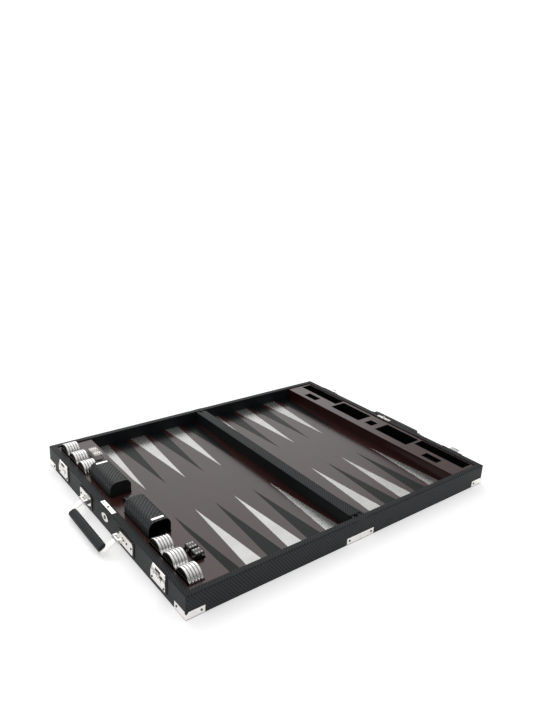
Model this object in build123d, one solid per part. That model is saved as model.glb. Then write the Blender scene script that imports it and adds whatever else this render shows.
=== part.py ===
from build123d import *
import math
import os

os.makedirs("parts", exist_ok=True)

# ------------------------------------------------------------------ sizes, mm
# Frame: X runs from the left half to the right half, Y along the playing bar,
# Z up.  The opened set lies on Z = 0 with the bar on the Y axis.

# overall case
case_length = 533.0
half_width = 346.5
half_height = 40.5

# fold line
rim_gap = 0.3
spine_gap = 0.15
bar_half_width = 11.5

# boards and coverings
leather = 1.0
base_leather_thickness = 1.2
base_panel_top = 14.0
long_wall = 13.0
end_wall = 12.0

# playing field
points_per_row = 6
deck_width = 69.8
deck_drop = 2.0
point_fill = 0.8
point_tip = 52.0
point_relief = 0.1

# storage pockets
pocket_floor = 1.0
pocket_lining = 0.8
rows_per_group = 3
checkers_per_row = 5
checker_pocket_width = 27.4
checker_pocket_outset = 3.1
checker_end_margin = 6.8
row_clearance = 1.0
rib_width = 0.9
rib_height = 3.0
cup_pocket_width = 42.0
cup_pocket_outset = 8.0
cup_pocket_start = 26.3
pocket_divider = 6.6
cup_clearance = 1.0
dice_pocket_inset = 10.6
dice_clearance = 0.7
die_size = 17.0
die_radius = 3.0
die_top_above_rim = 8.0
cube_size = 20.0
cube_top_above_rim = 5.0
cube_clearance = 0.6
loose_gap = 0.1

# dice pips
pip_radius = 1.9
pip_depth = 0.8
pip_spread = 4.5

# dice cups
cup_corner = 13.0
cup_wall = 2.6
cup_base_length = 7.0
cup_base_lip = 0.4

# hardware pads and plates on the long outer faces
pad_thickness = 1.2
pad_margin = 3.0
plate_thickness = 1.0
latch_y = 188.0
latch_plate_width = 44.0
latch_plate_bottom = 10.5
latch_plate_top = 40.2
latch_slot_height = 23.0
bracket_thickness = 1.0
bracket_inner = 58.0
bracket_outer = 105.0
bracket_bottom = 8.5
bracket_top = 30.5

# handles
pivot_stand = 9.8
pivot_height = 23.5
pivot_pin_radius = 1.5
pivot_clearance = 0.05
arm_inner = 62.0
arm_width = 12.0
arm_thickness = 2.4
arm_reach = 25.5
left_handle_droop = 30.0
right_handle_droop = 13.0
grip_width = 16.0
grip_height = 12.0
core_width = 8.0
core_height = 3.0
side_gap = 0.4

# hasps and latch slides
hasp_pivot_stand = 2.3
hasp_pivot_height = 36.5
hasp_width = 20.0
hasp_length = 12.0
hasp_thickness = 1.5
hasp_pin_radius = 0.8
tongue_height = 1.1
slide_travel = 6.0

# lock, rim plates and fold hinges
rim_plate_width = 8.0
strike_plate_length = 46.0
pin_plate_length = 36.0
rim_plate_setback = 5.5
lock_pin_radius = 1.5
lock_pin_height = 5.0
lock_hole_radius = 2.6
plug_radius = 3.6
lock_height = 22.8
knuckle_radius = 2.0
hinge_pin_radius = 0.9
hinge_end_gap = 6.7

# corner guards and screws
guard_leg = 32.0
guard_height = 12.0
guard_proud = 0.4
guard_scallop = 4.0
screw_head_radius = 1.9
screw_head_height = 0.9
screw_dome = 0.4
screw_slot_width = 0.5
screw_slot_depth = 0.35
screw_shank_radius = 1.1
screw_shank_length = 7.0

# ------------------------------------------------------------- derived values
inner_y = case_length / 2 - end_wall
outer_y = case_length / 2
wall_x = half_width - long_wall
deck_x = wall_x - deck_width
pitch = (deck_x - bar_half_width) / points_per_row
field_top = base_panel_top + leather
deck_top = half_height - deck_drop
board_top = half_height - leather
fold_height = half_height + rim_gap / 2
floor_level = base_panel_top + pocket_floor
closed_room = 2 * (fold_height - floor_level)

checker_y1 = inner_y - checker_end_margin
cup_y0 = cup_pocket_start
cup_pocket_length = 0.42 * (checker_y1 - cup_y0 - pocket_divider)
cup_y1 = cup_y0 + cup_pocket_length
checker_y0 = cup_y1 + pocket_divider
row_pitch = (checker_y1 - checker_y0) / rows_per_group
checker_diameter = min(row_pitch - row_clearance, closed_room - 2.0)
checker_x1 = wall_x - checker_pocket_outset
checker_x0 = checker_x1 - checker_pocket_width
checker_thickness = (checker_pocket_width - 1.8) / checkers_per_row - loose_gap
cup_x1 = wall_x - cup_pocket_outset
cup_x0 = cup_x1 - cup_pocket_width
cup_width = cup_pocket_width - 2 * cup_clearance
cup_height = closed_room - 1.3
cup_length = cup_pocket_length - 2 * cup_clearance
dice_x0 = deck_x + dice_pocket_inset
dice_x1 = dice_x0 + die_size + 2 * dice_clearance
dice_length = 2 * die_size + 5.0
dice_yc = (checker_y0 + checker_y1) / 2
dice_floor = half_height + die_top_above_rim - die_size
cube_half = cube_size / 2 + cube_clearance
cube_xc = (cup_x0 + cup_x1) / 2 - 5.2
cube_floor = half_height + cube_top_above_rim - cube_size
strip_end = inner_y - hinge_end_gap

pad_face = half_width + pad_thickness
latch_face = pad_face + plate_thickness
pivot_x = pad_face + bracket_thickness + pivot_stand
hasp_x = latch_face + hasp_pivot_stand


# -------------------------------------------------------------------- helpers
def block(x0, x1, y0, y1, z0, z1):
    """A box given by its six limits."""
    centre = ((x0 + x1) / 2, (y0 + y1) / 2, (z0 + z1) / 2)
    return Pos(*centre) * Box(x1 - x0, y1 - y0, z1 - z0)


def cylinder_y(x, z, radius, y0, y1):
    """A cylinder lying along Y."""
    place = Pos(x, (y0 + y1) / 2, z) * Rot(90, 0, 0)
    return place * Cylinder(radius, y1 - y0)


def cylinder_x(y, z, radius, x0, x1):
    """A cylinder lying along X."""
    place = Pos((x0 + x1) / 2, y, z) * Rot(0, 90, 0)
    return place * Cylinder(radius, x1 - x0)


def far_and_near(shapes):
    """The given solids together with their mirror images in Y."""
    return list(shapes) + [mirror(s, about=Plane.XZ) for s in shapes]


def on_side(shapes, side):
    """Solids drawn for the right half, mirrored when side is -1."""
    if side > 0:
        return list(shapes)
    return [mirror(s, about=Plane.YZ) for s in shapes]


def solids(shapes):
    """Every solid held in a list of shapes."""
    found = []
    for shape in shapes:
        found.extend(shape.solids())
    return found


def cut_all(shapes, tools):
    """Cut a list of tools from each shape."""
    result = []
    for shape in shapes:
        for tool in tools:
            shape = shape - tool
        result.append(shape)
    return result


def save(name, shapes):
    """Write one node."""
    parts = solids(shapes)
    body = parts[0] if len(parts) == 1 else Compound(children=parts)
    export_step(body, f"parts/{name}.step")


# --------------------------------------------------------------------- screws
def screw_x(y, z, face):
    """Dome-head screw driven into a face that looks along X."""
    top = face + screw_head_height
    head = cylinder_x(y, z, screw_head_radius, face, top)
    head = chamfer(head.edges().sort_by(Axis.X)[-1:], screw_dome)
    half = screw_slot_width / 2
    reach = screw_head_radius
    head -= block(top - screw_slot_depth, top + 1, y - reach, y + reach, z - half, z + half)
    shank_start = face - screw_shank_length
    shank = cylinder_x(y, z, screw_shank_radius, shank_start, face)
    return head + shank


def screw_y(x, z, face):
    """Dome-head screw driven into a face that looks along Y."""
    top = face + screw_head_height
    head = cylinder_y(x, z, screw_head_radius, face, top)
    head = chamfer(head.edges().sort_by(Axis.Y)[-1:], screw_dome)
    half = screw_slot_width / 2
    reach = screw_head_radius
    head -= block(x - half, x + half, top - screw_slot_depth, top + 1, z - reach, z + reach)
    shank_start = face - screw_shank_length
    shank = cylinder_y(x, z, screw_shank_radius, shank_start, face)
    return head + shank


def screw_z(x, y):
    """Countersunk screw, flush with the rim."""
    radius = screw_head_radius - 0.6
    head = Pos(x, y, half_height - leather / 2) * Cylinder(radius, leather)
    middle = half_height - leather - screw_shank_length / 2
    shank = Pos(x, y, middle) * Cylinder(screw_shank_radius, screw_shank_length)
    return head + shank


def half_screws(side):
    """All screws of one half, drawn on the right."""
    guard_face_x = half_width + guard_proud
    guard_face_y = outer_y + guard_proud
    guard_z = base_leather_thickness + guard_height / 2
    near_end = guard_leg - 6.0
    made = [
        screw_x(outer_y - near_end, guard_z, guard_face_x),
        screw_y(half_width - near_end, guard_z, guard_face_y),
        screw_y(near_end, guard_z, guard_face_y),
    ]
    screws = far_and_near(made)
    bracket_face = pad_face + bracket_thickness
    bracket_middle = (bracket_bottom + bracket_top) / 2
    for y in (arm_inner + arm_width + 10.0, bracket_outer - 5.0):
        screws += far_and_near([screw_x(y, bracket_middle, bracket_face)])
    latch_screw = latch_plate_width / 2 - 4.0
    for end in (-1, 1):
        for dy in (-latch_screw, latch_screw):
            if side < 0:
                y = end * latch_y + dy
                screws.append(screw_x(y, latch_plate_bottom + 3.5, latch_face))
        if side > 0:
            for dy in (-7.0, 7.0):
                y = end * latch_y + dy
                screws.append(screw_x(y, 30.0, latch_face))
    length = strike_plate_length if side < 0 else pin_plate_length
    x = half_width - rim_plate_setback
    screws += far_and_near([screw_z(x, length / 2 - 5.0)])
    return screws


# ------------------------------------------------------------ case of one half
def frame_boards(side):
    """Long outer board, two end boards and the notched bar board."""
    bottom = base_leather_thickness
    x_in = wall_x + leather
    x_out = half_width - leather
    y_in = inner_y + leather
    y_out = outer_y - leather
    mortise_y = 9.0
    mortise_z = board_top - 9.5
    centre_x = half_width - rim_plate_setback
    boards = []
    if side < 0:
        boards += far_and_near([block(x_in, x_out, mortise_y, y_out, bottom, board_top)])
        boards.append(block(x_in, x_out, -mortise_y, mortise_y, bottom, mortise_z))
        cheek_in = centre_x - lock_hole_radius - 0.6
        cheek_out = centre_x + lock_hole_radius + 0.6
        boards.append(block(x_in, cheek_in, -mortise_y, mortise_y, mortise_z, board_top))
        boards.append(block(cheek_out, x_out, -mortise_y, mortise_y, mortise_z, board_top))
    else:
        boards.append(block(x_in, x_out, -y_out, y_out, bottom, board_top))
    bar_x0 = spine_gap + leather
    bar_x1 = bar_half_width - leather
    boards += far_and_near([block(bar_x1, x_in, y_in, y_out, bottom, board_top)])
    notch_top = fold_height - knuckle_radius - 0.35
    boards.append(block(bar_x0, bar_x1, -strip_end, strip_end, bottom, board_top))
    boards += far_and_near([block(bar_x0, bar_x1, strip_end, inner_y, bottom, notch_top)])
    boards += far_and_near([block(bar_x0, bar_x1, inner_y, y_out, bottom, board_top)])
    return boards


def base_panel():
    """Plywood floor let in between the frame boards."""
    x0 = bar_half_width - leather
    x1 = wall_x + leather
    y1 = inner_y + leather
    return block(x0, x1, -y1, y1, base_leather_thickness, base_panel_top)


def guard_blanks():
    """Corner guards of one half as bent steel angles."""
    z0 = base_leather_thickness
    z1 = z0 + guard_height
    x_face = half_width + guard_proud
    y_face = outer_y + guard_proud
    x_in = half_width - leather
    y_in = outer_y - leather
    outer = block(half_width - guard_leg, x_face, y_in, y_face, z0, z1)
    outer += block(x_in, x_face, outer_y - guard_leg, y_face, z0, z1)
    inner = block(spine_gap, guard_leg, y_in, y_face, z0, z1)
    inner += block(spine_gap, spine_gap + leather, outer_y - guard_leg, y_face, z0, z1)
    edges = outer.edges().filter_by(Axis.Z).sort_by(Axis.X)[-1:]
    outer = fillet(edges, 1.0)
    outer -= Pos(x_face, y_face, z1) * Sphere(guard_scallop)
    return far_and_near([outer, inner])


def case_covering(side, cutters):
    """Leather over the outside, the rim and the inside of the walls."""
    z0 = base_leather_thickness
    whole = block(spine_gap, half_width, -outer_y, outer_y, z0, half_height)
    field = block(bar_half_width, wall_x, -inner_y, inner_y, z0, half_height + 1)
    core_x0 = spine_gap + leather
    core_x1 = half_width - leather
    core_y = outer_y - leather
    ring = block(core_x0, core_x1, -core_y, core_y, z0, board_top)
    ring_x0 = bar_half_width - leather
    ring_x1 = wall_x + leather
    ring_y = inner_y + leather
    ring -= block(ring_x0, ring_x1, -ring_y, ring_y, base_panel_top, board_top)
    cover = whole - field - ring
    bar_top = block(0, bar_half_width, -strip_end, strip_end, board_top, half_height + 1)
    cover -= bar_top
    notch_top = fold_height - knuckle_radius - 0.35
    for pocket in far_and_near([block(0, bar_half_width, strip_end, inner_y, notch_top, half_height + 1)]):
        cover -= pocket
    for tool in cutters:
        cover -= tool
    return cover


def base_covering():
    """Leather sheet under one half."""
    return block(spine_gap, half_width, -outer_y, outer_y, 0, base_leather_thickness)


# --------------------------------------------------------------- playing field
def point_prism(index, far, top):
    """One long triangular point, base against the end wall."""
    x = bar_half_width + (index + 0.5) * pitch
    half = point_fill * pitch / 2
    tip = point_tip * case_length / 533.0
    sketch = Polygon((x - half, inner_y), (x + half, inner_y), (x, tip), align=None)
    prism = extrude(Pos(0, 0, base_panel_top) * sketch, top - base_panel_top, dir=(0, 0, 1))
    return prism if far else mirror(prism, about=Plane.XZ)


def is_light(index, far, side):
    """Colour order of the points, counted outwards from the bar."""
    even_light = (side > 0) == far
    return (index % 2 == 0) == even_light


def field_pieces(side):
    """Field sheet with cut-outs, light points and dark points."""
    sheet = block(bar_half_width, deck_x, -inner_y, inner_y, base_panel_top, field_top)
    light = []
    dark = []
    for index in range(points_per_row):
        for far in (True, False):
            prism = point_prism(index, far, field_top + point_relief)
            sheet -= prism
            if is_light(index, far, side):
                light.append(prism)
            else:
                dark.append(prism)
    return sheet, light, dark


# --------------------------------------------------------------- storage decks
def pocket_boxes():
    """Clear limits (x0, x1, y0, y1, floor) of the pockets with y >= 0."""
    dice_half = dice_length / 2
    return {
        "checkers": (checker_x0, checker_x1, checker_y0, checker_y1, floor_level),
        "dice": (dice_x0, dice_x1, dice_yc - dice_half, dice_yc + dice_half, dice_floor),
        "cup": (cup_x0, cup_x1, cup_y0, cup_y1, floor_level),
        "cube": (cube_xc - cube_half, cube_xc + cube_half, -cube_half, cube_half, cube_floor),
    }


def storage_blocks():
    """Wood blocks that leave the pockets open, each one a plain box."""
    x0 = deck_x + leather
    x1 = wall_x
    z0 = base_panel_top
    z1 = deck_top - leather
    t = pocket_lining
    made = []
    pockets = pocket_boxes()
    cx0, cx1, cy0, cy1, cz = pockets["cube"]
    made.append(block(x0, cx0 - t, -cy1 - t, cy1 + t, z0, z1))
    made.append(block(cx1 + t, x1, -cy1 - t, cy1 + t, z0, z1))
    made.append(block(cx0 - t, cx1 + t, -cy1 - t, cy1 + t, z0, cz - pocket_floor))
    ux0, ux1, uy0, uy1, uz = pockets["cup"]
    kx0, kx1, ky0, ky1, kz = pockets["checkers"]
    dx0, dx1, dy0, dy1, dz = pockets["dice"]
    side = [
        block(x0, x1, cy1 + t, uy0 - t, z0, z1),
        block(x0, ux0 - t, uy0 - t, uy1 + t, z0, z1),
        block(ux1 + t, x1, uy0 - t, uy1 + t, z0, z1),
        block(x0, x1, uy1 + t, ky0 - t, z0, z1),
        block(kx1 + t, x1, ky0 - t, ky1 + t, z0, z1),
        block(x0, kx0 - t, ky0 - t, dy0 - t, z0, z1),
        block(x0, kx0 - t, dy1 + t, ky1 + t, z0, z1),
        block(x0, dx0 - t, dy0 - t, dy1 + t, z0, z1),
        block(dx1 + t, kx0 - t, dy0 - t, dy1 + t, z0, z1),
        block(dx0 - t, dx1 + t, dy0 - t, dy1 + t, z0, dz - pocket_floor),
        block(x0, x1, ky1 + t, inner_y, z0, z1),
    ]
    return made + far_and_near(side)


def pocket_shell(limits, ribs):
    """Thin lining of one pocket, open at the top."""
    x0, x1, y0, y1, floor = limits
    t = pocket_lining
    top = deck_top - leather
    shell = block(x0 - t, x1 + t, y0 - t, y1 + t, floor - pocket_floor, top)
    shell -= block(x0, x1, y0, y1, floor, top)
    for index in range(1, ribs + 1):
        y = y0 + index * (y1 - y0) / (ribs + 1)
        half = rib_width / 2
        shell += block(x0, x1, y - half, y + half, floor, floor + rib_height)
    return shell


def pocket_linings():
    """Linings of all pockets of one half."""
    pockets = pocket_boxes()
    made = [pocket_shell(pockets["cube"], 0)]
    paired = [
        pocket_shell(pockets["checkers"], rows_per_group - 1),
        pocket_shell(pockets["dice"], 0),
        pocket_shell(pockets["cup"], 0),
    ]
    return made + far_and_near(paired)


def deck_covering():
    """Leather on top of the storage deck and down its inner side."""
    z0 = deck_top - leather
    cover = block(deck_x, wall_x, -inner_y, inner_y, z0, deck_top)
    cover += block(deck_x, deck_x + leather, -inner_y, inner_y, base_panel_top, z0)
    for x0, x1, y0, y1, floor in pocket_boxes().values():
        hole = block(x0, x1, y0, y1, z0 - 1, deck_top + 1)
        cover -= hole
        if y0 > 0:
            cover -= mirror(hole, about=Plane.XZ)
    return cover


# -------------------------------------------------------- outer face hardware
def hardware_pads():
    """Leather pads behind the latches and the handle brackets."""
    half = latch_plate_width / 2 + pad_margin
    z0 = latch_plate_bottom - pad_margin
    latch = block(half_width, pad_face, latch_y - half, latch_y + half, z0, half_height)
    y0 = bracket_inner - pad_margin
    y1 = bracket_outer + pad_margin
    z2 = bracket_bottom - pad_margin
    z3 = bracket_top + pad_margin
    grip = block(half_width, pad_face, y0, y1, z2, z3)
    return far_and_near([latch, grip])


def latch_plate(centre_y):
    """Slotted latch plate as flat convex strips around its openings."""
    half = latch_plate_width / 2
    z0 = latch_plate_bottom
    z1 = latch_plate_top
    outline = Polygon(
        (centre_y - half, z0),
        (centre_y + half, z0),
        (centre_y + half, z0 + 15.0),
        (centre_y + half - 7.0, z1),
        (centre_y - half, z1),
        align=None,
    )
    plane = Plane(origin=(pad_face, 0, 0), x_dir=(0, 1, 0), z_dir=(1, 0, 0))
    plate = extrude(plane * outline, plate_thickness, dir=(1, 0, 0))
    slot_z = latch_slot_height
    slot = (centre_y - 8.0, centre_y + 5.0, slot_z - 2.0, slot_z + 2.0)
    hole = (centre_y - 8.0, centre_y + 8.0, 32.0, 37.0)
    y0 = centre_y - half
    y1 = centre_y + half
    bands = [
        (y0, y1, z0, slot[2]),
        (y0, slot[0], slot[2], slot[3]),
        (slot[1], y1, slot[2], slot[3]),
        (y0, y1, slot[3], hole[2]),
        (y0, hole[0], hole[2], hole[3]),
        (hole[1], y1, hole[2], hole[3]),
        (y0, y1, hole[3], z1),
    ]
    strips = []
    for a, b, c, d in bands:
        strips.append(plate & block(pad_face, latch_face, a, b, c, d))
    return strips


def latch_slide(centre_y):
    """Thumb slide: a stem in the plate slot under a ribbed button."""
    y0 = centre_y - 7.5
    y1 = y0 + 12.4 - slide_travel
    z = latch_slot_height
    stem = block(pad_face + 0.3, latch_face + 0.4, y0, y1, z - 1.7, z + 1.7)
    face = latch_face + 0.3
    button = block(face, face + 2.4, y0 - 2.5, y1 + 2.5, z - 4.2, z + 4.2)
    top_edges = button.faces().sort_by(Axis.X)[-1].edges()
    button = chamfer(top_edges, 0.6)
    for index in range(3):
        y = (y0 + y1) / 2 + (index - 1) * 2.6
        button -= block(face + 1.9, face + 3.0, y - 0.45, y + 0.45, z - 5.0, z + 5.0)
    return stem + button


def hasp_base(centre_y):
    """Small plate with two lugs and the hasp pin."""
    y = centre_y
    plate = block(pad_face, latch_face, y - 11, y + 11, 26.0, hasp_pivot_height + 2.0)
    lugs = []
    for side in (-1, 1):
        a = y + side * 7.3
        b = y + side * 9.8
        low = min(a, b)
        high = max(a, b)
        lug = cylinder_y(hasp_x, hasp_pivot_height, 2.2, low, high)
        lug += block(latch_face, hasp_x, low, high, hasp_pivot_height - 2.2, hasp_pivot_height + 0.4)
        lugs.append(lug)
    pin = cylinder_y(hasp_x, hasp_pivot_height, hasp_pin_radius, y - 7.3, y + 7.3)
    return [plate] + lugs + [pin]


def hasp(centre_y):
    """Swinging hasp with a tongue that drops into the latch plate."""
    y = centre_y
    z0 = hasp_pivot_height + 0.4
    z1 = z0 + hasp_thickness
    eye = cylinder_y(hasp_x, hasp_pivot_height, 1.9, y - 6.9, y + 6.9)
    tip = hasp_x + hasp_length
    body = eye + block(hasp_x, tip, y - 6.9, y + 6.9, z0, z1)
    body += block(hasp_x + 3.2, tip, y - hasp_width / 2, y + hasp_width / 2, z0, z1)
    body += block(tip - 3.2, tip - 1.2, y - 5.0, y + 5.0, z1, z1 + tongue_height)
    bore = cylinder_y(hasp_x, hasp_pivot_height, hasp_pin_radius + 0.06, y - 8, y + 8)
    return body - bore


def handle_bracket():
    """Plate with cut corners, two lugs and the pressed-in pin, at +Y."""
    outline = Polygon(
        (bracket_inner, bracket_bottom + 5.0),
        (bracket_inner, bracket_top - 2.0),
        (bracket_inner + 4.0, bracket_top),
        (bracket_outer - 2.5, bracket_top),
        (bracket_outer, bracket_top - 2.5),
        (bracket_outer, bracket_bottom + 2.5),
        (bracket_outer - 2.5, bracket_bottom),
        (bracket_inner + 10.0, bracket_bottom),
        align=None,
    )
    plane = Plane(origin=(pad_face, 0, 0), x_dir=(0, 1, 0), z_dir=(1, 0, 0))
    plate = extrude(plane * outline, bracket_thickness, dir=(1, 0, 0))
    face = pad_face + bracket_thickness
    arm_outer = arm_inner + arm_width
    lugs = []
    spans = ((bracket_inner, arm_inner - side_gap), (arm_outer + side_gap, arm_outer + 4.4))
    for y0, y1 in spans:
        lug = cylinder_y(pivot_x, pivot_height, 4.0, y0, y1)
        lug += block(face, pivot_x, y0, y1, pivot_height - 4.0, pivot_height + 4.0)
        lugs.append(lug)
    pin = cylinder_y(pivot_x, pivot_height, pivot_pin_radius, spans[0][1], spans[1][0])
    return [plate] + lugs + [pin]


def droop(shapes, angle):
    """Turn pieces drawn straight out of the pivot down to their rest."""
    place = Pos(pivot_x, 0, pivot_height) * Rot(0, angle, 0)
    return [place * s for s in shapes]


def handle_frame(angle):
    """Flat steel arms with rolled eyes, joined by a core bar."""
    y0 = arm_inner
    y1 = arm_inner + arm_width
    reach = arm_reach
    half = arm_thickness / 2
    arm = cylinder_y(0, 0, 3.4, y0, y1)
    arm += block(0, reach + 6.0, y0, y1, -half, half)
    corner = arm.edges().filter_by(Axis.Z).sort_by(Axis.X)[-2:]
    arm = fillet(corner, 4.0)
    arm -= cylinder_y(0, 0, pivot_pin_radius + pivot_clearance, y0 - 1, y1 + 1)
    frame = arm + mirror(arm, about=Plane.XZ)
    x0 = reach - core_width / 2
    bar = block(x0, x0 + core_width, -y0 - 1, y0 + 1, -half, half)
    return droop([frame + bar], angle)


def handle_grip(angle):
    """Leather-wrapped grip threaded on the core bar."""
    length = 2 * (arm_inner - 0.2)
    section = RectangleRounded(grip_width, grip_height, 5.0)
    solid = extrude(Plane.XZ * section, length / 2, both=True)
    solid = Pos(arm_reach, 0, 0) * solid
    half = arm_thickness / 2 + 0.03
    x0 = arm_reach - core_width / 2 - 0.03
    x1 = arm_reach + core_width / 2 + 0.03
    solid -= block(x0, x1, -length, length, -half, half)
    return droop([solid], angle)


# ---------------------------------------------------------- rim plates and lock
def strike_plate():
    """Rim plate with the lock hole."""
    x = half_width - rim_plate_setback
    half = strike_plate_length / 2
    w = rim_plate_width / 2
    plate = block(x - w, x + w, -half, half, board_top, half_height)
    return plate - Pos(x, 0, half_height) * Cylinder(lock_hole_radius, 4.0)


def pin_plate():
    """Rim plate with the upright lock pin."""
    x = half_width - rim_plate_setback
    half = pin_plate_length / 2
    w = rim_plate_width / 2
    plate = block(x - w, x + w, -half, half, board_top, half_height)
    pin = Pos(x, 0, half_height + lock_pin_height / 2) * Cylinder(lock_pin_radius, lock_pin_height)
    neck = Pos(x, 0, half_height + 2.6) * (Cylinder(lock_pin_radius + 1, 1.2) - Cylinder(1.0, 1.2))
    return plate + (pin - neck)


def escutcheon():
    """Pointed-oval key plate around the lock plug."""
    z = lock_height
    half_w = 13.5
    half_h = 7.5
    upper = ThreePointArc((-half_w, 0), (0, half_h), (half_w, 0))
    lower = ThreePointArc((half_w, 0), (0, -half_h), (-half_w, 0))
    face = make_face(Wire([upper, lower]))
    plane = Plane(origin=(half_width, 0, z), x_dir=(0, 1, 0), z_dir=(1, 0, 0))
    plate = extrude(plane * face, 1.6, dir=(1, 0, 0))
    return plate - cylinder_x(0, z, plug_radius + 0.15, half_width - 1, half_width + 3)


def lock_plug():
    """Round plug with a key slot."""
    z = lock_height
    front = half_width + 2.2
    plug = cylinder_x(0, z, plug_radius, half_width - 0.7, front)
    plug -= block(front - 1.6, front + 1, -0.5, 0.5, z - 2.2, z + 2.2)
    return plug


# ------------------------------------------------------------------ fold hinges
def hinge_leaf(side):
    """Leaf and knuckle of the end hinges for one half, drawn on the right."""
    y0 = strip_end + 0.4
    y1 = inner_y - 0.3
    middle = (y0 + y1) / 2
    z0 = fold_height - knuckle_radius - 0.35
    z1 = z0 + 1.1
    own = (y0, middle - 0.15) if side > 0 else (middle + 0.15, y1)
    leaf = block(knuckle_radius + 0.6, bar_half_width - leather, y0, y1, z0, z1)
    leaf += block(0, knuckle_radius + 0.7, own[0], own[1], z0 + 0.35, z1)
    leaf += cylinder_y(0, fold_height, knuckle_radius, own[0], own[1])
    bore = hinge_pin_radius + 0.05 if side > 0 else hinge_pin_radius
    leaf -= cylinder_y(0, fold_height, bore, y0 - 1, y1 + 1)
    return leaf


def hinge_pins():
    """One pin in each end hinge."""
    y0 = strip_end + 0.4
    y1 = inner_y - 0.3
    return far_and_near([cylinder_y(0, fold_height, hinge_pin_radius, y0, y1)])


def hinge_strip():
    """Flexible leather strip that covers both bar boards."""
    w = bar_half_width
    return block(-w, w, -strip_end, strip_end, board_top, half_height)


# ---------------------------------------------------------------- game pieces
def checker_disc(x):
    """One checker standing on edge, axis along X, centred on the origin row."""
    r = checker_diameter / 2
    t = checker_thickness
    inner = r - 3.6
    pts = [
        (0, 0.7),
        (inner, 0.7),
        (inner + 0.7, 0),
        (r - 0.6, 0),
        (r, 0.6),
        (r, t - 0.6),
        (r - 0.6, t),
        (inner + 0.7, t),
        (inner, t - 0.7),
        (0, t - 0.7),
    ]
    profile = make_face(Polyline(*pts, close=True))
    disc = revolve(Plane.XZ * profile, Axis.Z)
    return Pos(x, 0, floor_level + r) * Rot(0, 90, 0) * disc


def checker_row(index, far):
    """Five checkers of one row in the left deck."""
    y = checker_y0 + (index + 0.5) * row_pitch
    if not far:
        y = -y
    step = checker_thickness + loose_gap
    x0 = -checker_x1 + (checker_pocket_width - step * checkers_per_row + loose_gap) / 2
    row = []
    for n in range(checkers_per_row):
        row.append(Pos(0, y, 0.05) * checker_disc(x0 + n * step))
    return row


def pip_places(count):
    """Pip positions on a unit face."""
    one = [(0, 0)]
    two = [(-1, -1), (1, 1)]
    four = two + [(-1, 1), (1, -1)]
    six = four + [(-1, 0), (1, 0)]
    return {1: one, 2: two, 3: one + two, 4: four, 5: one + four, 6: six}[count]


def die_solid():
    """Rounded cube with drilled pips, six on top."""
    body = Box(die_size, die_size, die_size)
    body = fillet(body.edges(), die_radius)
    half = die_size / 2
    faces = {
        6: Plane(origin=(0, 0, half), x_dir=(0, 1, 0), z_dir=(0, 0, 1)),
        1: Plane(origin=(0, 0, -half), z_dir=(0, 0, -1)),
        2: Plane(origin=(0, -half, 0), x_dir=(1, 0, 0), z_dir=(0, -1, 0)),
        5: Plane(origin=(0, half, 0), x_dir=(1, 0, 0), z_dir=(0, 1, 0)),
        3: Plane(origin=(-half, 0, 0), x_dir=(0, 1, 0), z_dir=(-1, 0, 0)),
        4: Plane(origin=(half, 0, 0), x_dir=(0, 1, 0), z_dir=(1, 0, 0)),
    }
    for count, plane in faces.items():
        for u, v in pip_places(count):
            place = Pos(u * pip_spread, v * pip_spread, pip_radius - pip_depth)
            body -= plane * place * Sphere(pip_radius)
    return body


def dice_pair(far):
    """Two dice lying side by side along Y in the left deck."""
    x = -(dice_x0 + dice_x1) / 2
    z = dice_floor + die_size / 2 + 0.05
    step = dice_length / 4
    sign = 1 if far else -1
    pair = []
    for offset in (-1, 1):
        y = sign * dice_yc + offset * (step - 0.6)
        pair.append(Pos(x, y, z) * die_solid())
    return pair


def doubling_cube():
    """Plain cube with a sunk square on every face."""
    body = Box(cube_size, cube_size, cube_size)
    body = fillet(body.edges(), 1.6)
    sunk = cube_size - 5.0
    half = cube_size / 2
    for depth in (-half + 0.15, half - 0.15):
        body -= Pos(0, 0, depth) * Box(sunk, sunk, 0.6)
        body -= Pos(depth, 0, 0) * Box(0.6, sunk, sunk)
        body -= Pos(0, depth, 0) * Box(sunk, 0.6, sunk)
    place = Pos(-cube_xc, 0, cube_floor + half + 0.05)
    return place * body


def cup_section(inset):
    """Rounded section of a dice cup."""
    w = cup_width - 2 * inset
    h = cup_height - 2 * inset
    return RectangleRounded(w, h, cup_corner - inset)


def cup_pieces(far):
    """Cup body and base cap, lying along Y with the mouth outwards."""
    x = -(cup_x0 + cup_x1) / 2
    z = floor_level + cup_height / 2 + 0.05
    y0 = cup_y0 + cup_clearance
    y1 = y0 + cup_length
    y_base = y0 + cup_base_length
    plane = Plane(origin=(x, y1, z), x_dir=(1, 0, 0), z_dir=(0, -1, 0))
    body = extrude(plane * cup_section(cup_base_lip), y1 - y_base)
    body -= extrude(plane * cup_section(cup_wall), y1 - y_base - 2.5)
    lip = extrude(plane * cup_section(0), 4.0) - extrude(plane * cup_section(cup_wall), 4.0)
    body += lip
    base_plane = Plane(origin=(x, y_base, z), x_dir=(1, 0, 0), z_dir=(0, -1, 0))
    base = extrude(base_plane * cup_section(0), cup_base_length)
    base = chamfer(base.faces().sort_by(Axis.Y)[0].edges(), 0.8)
    if far:
        return body, base
    return mirror(body, about=Plane.XZ), mirror(base, about=Plane.XZ)


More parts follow.
